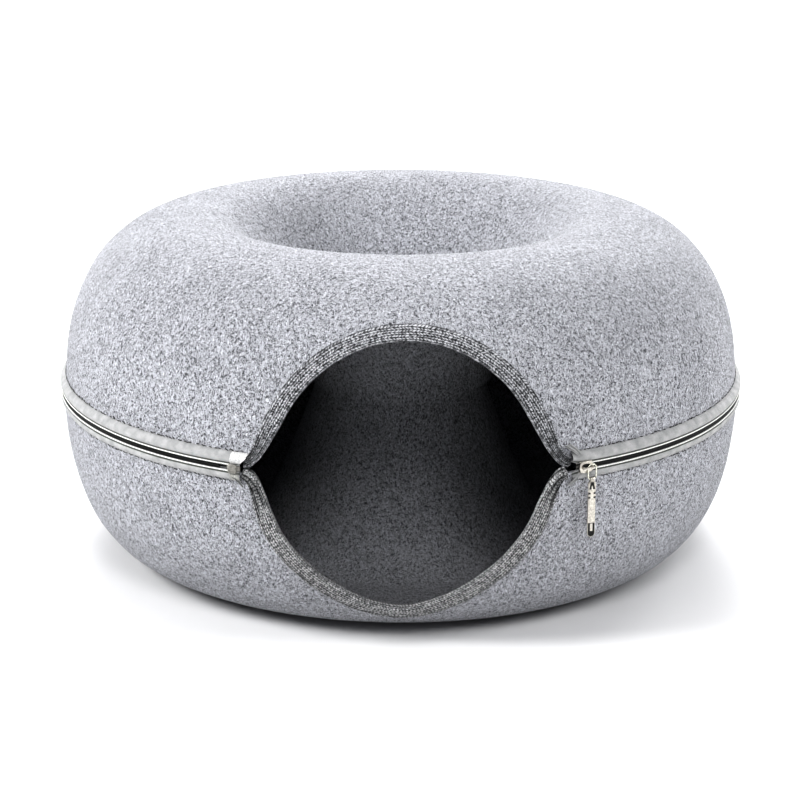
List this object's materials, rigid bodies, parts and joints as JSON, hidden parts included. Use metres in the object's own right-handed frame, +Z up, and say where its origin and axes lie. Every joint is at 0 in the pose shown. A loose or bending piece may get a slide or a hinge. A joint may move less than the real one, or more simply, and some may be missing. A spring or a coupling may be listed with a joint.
{
  "type": "felt cat cave",
  "caption": "Ring-shaped felt cat tunnel of two moulded half shells, zipped together at mid height, with a bound doorway and an open centre.",
  "frame": {"origin": "on the floor, under the middle of the whole piece's bounding box", "axes": "+Z up, and the doorway faces -Y. The hole's axis is parallel to Z, 8.4 mm in front of the origin"},
  "size_m": [0.5, 0.4832, 0.246],
  "materials": {
    "felt": "needle-punched wool-look felt, light blue-grey, heathered, matt",
    "herringbone_tape": "herringbone woven tape, dark and light grey yarns",
    "zip_tape": "woven polyester zip tape, light grey, slight sheen",
    "nylon_coil": "nylon zip coil, black, satin",
    "film": "clear stiffening film fused on the tape, glossy white",
    "moulded_box": "moulded nylon end box, translucent grey",
    "nickel": "die-cast zinc with warm nickel plating, worn bright"
  },
  "bodies": {
    "root": {"shell_upper": "felt", "shell_lower": "felt", "binding_upper": "herringbone_tape", "binding_lower": "herringbone_tape", "zip_tape_upper": "zip_tape", "zip_tape_lower": "zip_tape", "zip_coil_upper": "nylon_coil", "zip_coil_lower": "nylon_coil", "zip_film_upper": "film", "zip_film_lower": "film", "zip_box": "moulded_box", "zip_slider": "nickel", "zip_link": "nickel", "zip_tab": "nickel"}
  },
  "joints": []
}
